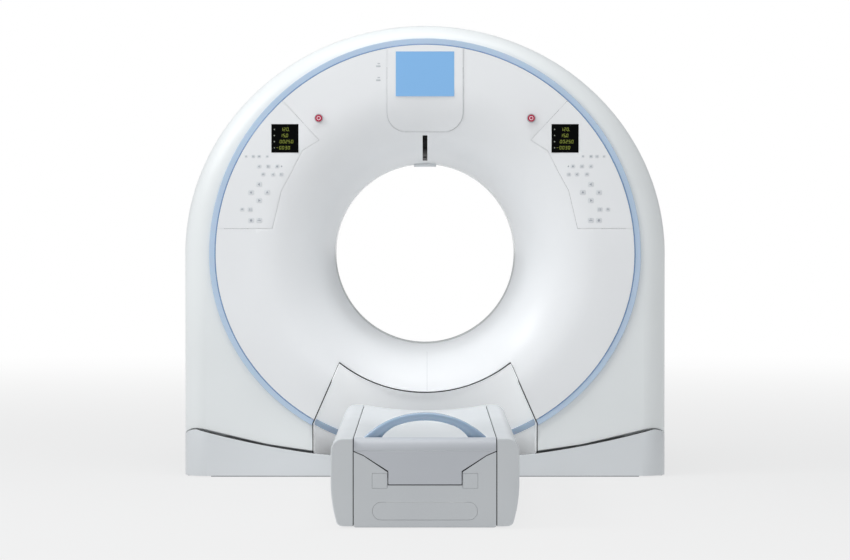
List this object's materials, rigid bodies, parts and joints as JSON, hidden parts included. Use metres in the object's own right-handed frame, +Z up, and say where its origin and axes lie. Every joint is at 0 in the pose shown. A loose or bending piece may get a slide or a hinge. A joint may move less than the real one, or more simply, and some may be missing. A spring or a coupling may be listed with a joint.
{
  "type": "ct scanner",
  "caption": "Tilting ring-shaped CT scanner gantry on a low plinth, with a spinning X-ray rotor inside and a patient couch that lifts and slides.",
  "frame": {"origin": "on the floor, straight below the isocentre, at the centre of the gantry's four anchor holes", "axes": "+Y along the bore, from the couch into the gantry; +X to the right of someone facing the gantry from the couch; +Z up"},
  "size_m": [2.04, 3.12, 1.91],
  "materials": {
    "frame_paint": "semi-gloss powder coat",
    "cast_frame": "painted casting",
    "bearing_steel": "ground",
    "gear_paint": "smooth enamel",
    "plinth_cover": "fine satin",
    "couch_cover": "fine satin",
    "front_cover": "satin",
    "shell_cover": "satin",
    "accent_blue": "satin gloss",
    "liner_film": "smooth",
    "display_black": "glossy",
    "screen_blue": "lit screen",
    "collar_plastic": "satin",
    "belt_rubber": "matt",
    "rotor_aluminium": "machined",
    "slip_ring": "moulded",
    "estop_red": "gloss",
    "board_composite": "satin",
    "handle_blue": "satin gloss"
  },
  "bodies": {
    "stand": {"base_frame": "frame_paint", "pillars": "frame_paint", "tilt_bearings": "bearing_steel", "tilt_gearmotor": "gear_paint", "plinth_front_cover": "plinth_cover", "plinth_rear_cover": "plinth_cover", "docking_plate": "frame_paint", "couch_base_frame": "frame_paint", "couch_base_tracks": "bearing_steel", "couch_base_end_cover": "couch_cover", "couch_access_lids": "couch_cover", "lift_gearmotor": "gear_paint"},
    "gantry_body": {"tilt_frame": "cast_frame", "trunnions": "bearing_steel", "front_cover": "front_cover", "lower_front_cover": "front_cover", "accent_ring": "accent_blue", "outer_shell": "shell_cover", "rear_cover": "shell_cover", "bore_liner": "liner_film", "left_control_panel": "front_cover", "right_control_panel": "front_cover", "left_display": "display_black", "right_display": "display_black", "screen_housing": "front_cover", "status_screen": "screen_blue", "laser_window": "display_black", "laser_housing": "couch_cover", "estop_collars": "collar_plastic", "cover_brackets": "frame_paint", "bearing_outer_race": "bearing_steel", "brush_block": "collar_plastic", "drive_motor": "gear_paint", "drive_belt": "belt_rubber"},
    "rotor": {"rotor_drum": "rotor_aluminium", "bearing_inner_race": "bearing_steel", "bearing_balls": "bearing_steel", "xray_tube": "rotor_aluminium", "collimator": "gear_paint", "detector_arc": "rotor_aluminium", "high_voltage_generator": "gear_paint", "heat_exchanger": "rotor_aluminium", "data_unit": "gear_paint", "balance_weight": "cast_frame", "slip_ring": "slip_ring"},
    "pulley": {"motor_pulley": "rotor_aluminium"},
    "left_estop_button": {"left_estop": "estop_red"},
    "right_estop_button": {"right_estop": "estop_red"},
    "outer_arms": {"scissor_outer_arms": "frame_paint", "outer_arm_rollers": "bearing_steel"},
    "inner_arms": {"scissor_inner_arms": "frame_paint", "inner_arm_rollers": "bearing_steel"},
    "couch": {"couch_lift_frame": "frame_paint", "cradle_guides": "bearing_steel", "couch_left_side_cover": "couch_cover", "couch_right_side_cover": "couch_cover", "foot_end_cover": "couch_cover", "head_end_cover": "couch_cover"},
    "patient_board": {"couch_top": "board_composite", "push_handle": "handle_blue"}
  },
  "joints": [
    {"name": "gantry_tilt", "type": "hinge", "parent": "stand", "child": "gantry_body", "pos_m": [0, 0, 0.94], "axis": [1, 0, 0], "range_deg": [-24, 24]},
    {"name": "rotor_spin", "type": "hinge", "parent": "gantry_body", "child": "rotor", "pos_m": [0, 0, 0.94], "axis": [0, 1, 0], "continuous": true},
    {"name": "motor_pulley_spin", "type": "hinge", "parent": "gantry_body", "child": "pulley", "pos_m": [0.56565, 0, 1.61412], "axis": [0, 1, 0], "continuous": true},
    {"name": "left_estop_press", "type": "slide", "parent": "gantry_body", "child": "left_estop_button", "axis": [0, 1, 0], "range_m": [0, 0.004], "stiffness_N_per_m": 1500},
    {"name": "right_estop_press", "type": "slide", "parent": "gantry_body", "child": "right_estop_button", "axis": [0, 1, 0], "range_m": [0, 0.004], "stiffness_N_per_m": 1500},
    {"name": "couch_lift", "type": "hinge", "parent": "stand", "child": "outer_arms", "pos_m": [0, -0.95, 0.09], "axis": [-1, 0, 0], "range_deg": [0, 36.16]},
    {"name": "scissor_cross", "type": "hinge", "parent": "outer_arms", "child": "inner_arms", "pos_m": [0, -1.47307, 0.135], "axis": [-1, 0, 0], "range_deg": [-72.34, 0]},
    {"name": "couch_frame_pivot", "type": "hinge", "parent": "inner_arms", "child": "couch", "pos_m": [0, -0.95, 0.18], "axis": [-1, 0, 0], "range_deg": [0, 36.17]},
    {"name": "board_slide", "type": "slide", "parent": "couch", "child": "patient_board", "axis": [0, 1, 0], "range_m": [0, 0.25]}
  ],
  "couplings": [
    {"joint": "motor_pulley_spin", "follows": "rotor_spin", "ratio": 15.6},
    {"joint": "scissor_cross", "follows": "couch_lift", "ratio": -2},
    {"joint": "couch_frame_pivot", "follows": "couch_lift", "ratio": 1}
  ]
}
